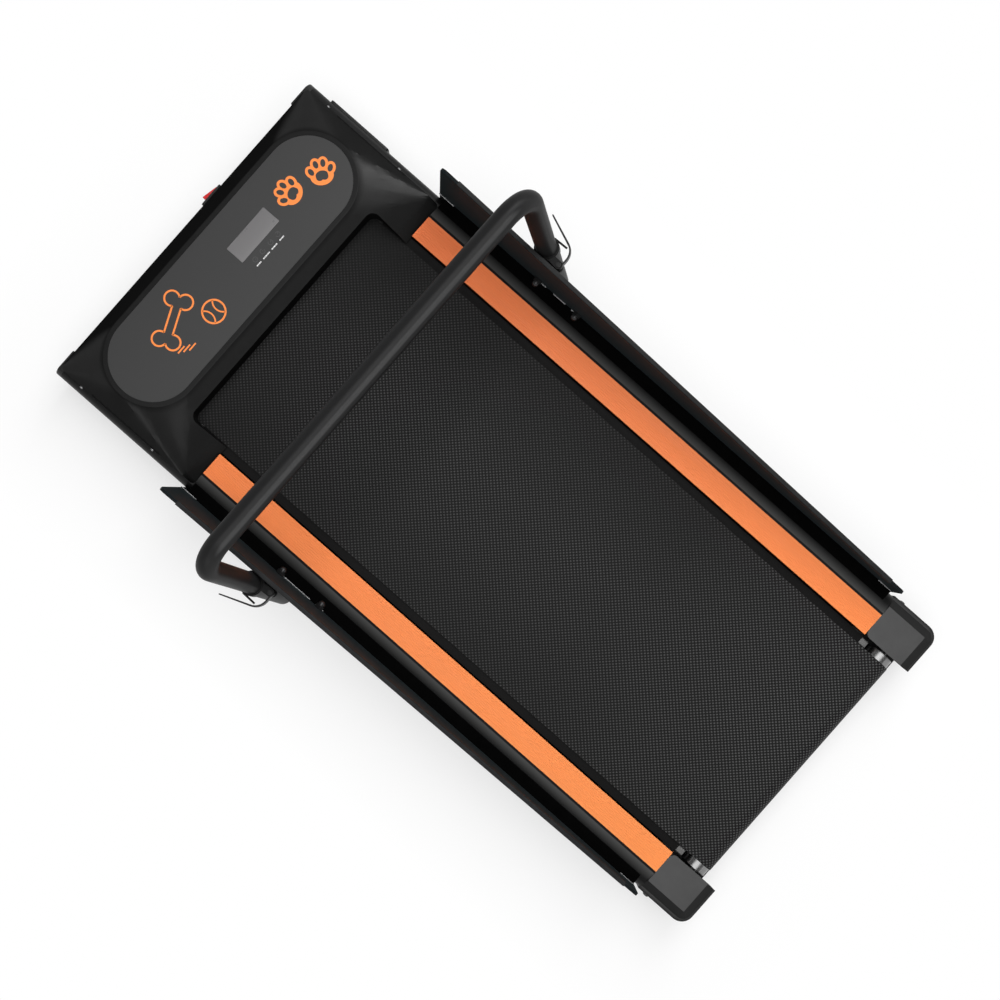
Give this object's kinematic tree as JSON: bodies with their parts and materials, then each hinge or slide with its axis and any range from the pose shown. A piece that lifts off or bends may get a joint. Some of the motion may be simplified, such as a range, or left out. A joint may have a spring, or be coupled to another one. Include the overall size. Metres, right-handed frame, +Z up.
{
  "type": "dog treadmill",
  "caption": "Dog treadmill with a belt deck between hollow side rails, upright side guards, a motor hood with a control panel, and a handle bar that slides in clamped posts.",
  "frame": {"origin": "on the floor under the middle of the overall box", "axes": "+X to the right of a dog that faces the hood, +Y to the motor hood, +Z up"},
  "size_m": [0.605, 1.0683, 0.3795],
  "materials": {
    "rail": "satin black powder coat on a hollow metal rail",
    "orange": "orange moulded strip with fine lengthwise ribs",
    "cap": "dark grey fine-grained plastic",
    "black": "black fine-grained plastic",
    "steel": "zinc plated steel",
    "rubber": "black rubber",
    "deck": "black faced fibre board",
    "belt": "black woven-patterned running belt",
    "light_plastic": "light grey plastic",
    "roller": "turned steel tube",
    "bracket": "grey pressed metal",
    "motor": "dark painted motor shell",
    "board": "green circuit board with parts",
    "hood": "black fine-grained moulded hood",
    "panel_grey": "dark grey printed overlay",
    "window": "grey glossy display lens",
    "red": "red glossy rocker",
    "guard": "dark smooth sheet",
    "tube": "satin black powder coat on steel tube",
    "lever": "black coated bent steel lever"
  },
  "bodies": {
    "frame": {"left_side_rail": "rail", "right_side_rail": "rail", "left_foot_strip": "orange", "right_foot_strip": "orange", "left_end_cap": "cap", "right_end_cap": "cap", "end_cap_screws": "steel", "left_front_cap": "black", "right_front_cap": "black", "front_fascia": "black", "cross_members": "rail", "front_cross_member": "rail", "deck_supports": "rail", "deck_cushions": "rubber", "deck_board": "deck", "running_belt": "belt", "belt_guides": "light_plastic", "front_axle": "steel", "rear_axle": "steel", "roller_bearings": "steel", "roller_brackets": "bracket", "tension_bolts": "steel", "motor": "motor", "motor_bracket": "bracket", "drive_belt": "rubber", "control_board": "board", "belly_pan": "black", "motor_hood": "hood", "hood_screws": "steel", "control_panel": "panel_grey", "display_window": "window", "display_board": "board", "switch_housing": "black", "power_inlet": "black", "vent_grille": "black", "left_side_panel": "guard", "right_side_panel": "guard", "left_edge_trim": "rubber", "right_edge_trim": "rubber", "panel_spacers": "rubber", "panel_seals": "rubber", "edge_strips": "steel", "panel_bolts": "steel", "cap_nuts": "lever", "left_post": "tube", "right_post": "tube", "left_clamp": "tube", "right_clamp": "tube", "lever_pins": "lever", "wheel_axles": "steel", "rubber_feet": "rubber"},
    "front_roller": {"front_roller": "roller"},
    "rear_roller": {"rear_roller": "roller"},
    "rotor": {"motor_rotor": "steel"},
    "handle": {"handle_bar": "tube"},
    "left_lever": {"left_lever": "lever"},
    "right_lever": {"right_lever": "lever"},
    "rocker": {"switch_rocker": "red"},
    "left_wheel": {"left_wheel": "black"},
    "right_wheel": {"right_wheel": "black"}
  },
  "joints": [
    {"name": "front_roller_spin", "type": "hinge", "parent": "frame", "child": "front_roller", "pos_m": [0, 0.38275, 0.0691], "axis": [1, 0, 0], "continuous": true},
    {"name": "rear_roller_spin", "type": "hinge", "parent": "frame", "child": "rear_roller", "pos_m": [0, -0.49625, 0.0691], "axis": [1, 0, 0], "continuous": true},
    {"name": "motor_spin", "type": "hinge", "parent": "frame", "child": "rotor", "pos_m": [-0.08, 0.45575, 0.0661], "axis": [1, 0, 0], "continuous": true},
    {"name": "handle_slide", "type": "slide", "parent": "frame", "child": "handle", "axis": [0, 0.225, 0.9744], "range_m": [0, 0.09]},
    {"name": "right_lever_hinge", "type": "hinge", "parent": "frame", "child": "right_lever", "pos_m": [0.25833, 0.12981, 0.19124], "axis": [0, -0.225, -0.9744], "range_deg": [0, 95]},
    {"name": "left_lever_hinge", "type": "hinge", "parent": "frame", "child": "left_lever", "pos_m": [-0.25833, 0.12981, 0.19124], "axis": [0, 0.225, 0.9744], "range_deg": [0, 95]},
    {"name": "rocker_tilt", "type": "hinge", "parent": "frame", "child": "rocker", "pos_m": [0.055, 0.52403, 0.078], "axis": [0, 0, 1], "range_deg": [0, 24]},
    {"name": "right_wheel_spin", "type": "hinge", "parent": "frame", "child": "right_wheel", "pos_m": [0.167, 0.48875, 0.0255], "axis": [1, 0, 0], "continuous": true},
    {"name": "left_wheel_spin", "type": "hinge", "parent": "frame", "child": "left_wheel", "pos_m": [-0.167, 0.48875, 0.0255], "axis": [1, 0, 0], "continuous": true}
  ],
  "couplings": [
    {"joint": "rear_roller_spin", "follows": "front_roller_spin", "ratio": 1},
    {"joint": "motor_spin", "follows": "front_roller_spin", "ratio": 2.2381}
  ]
}
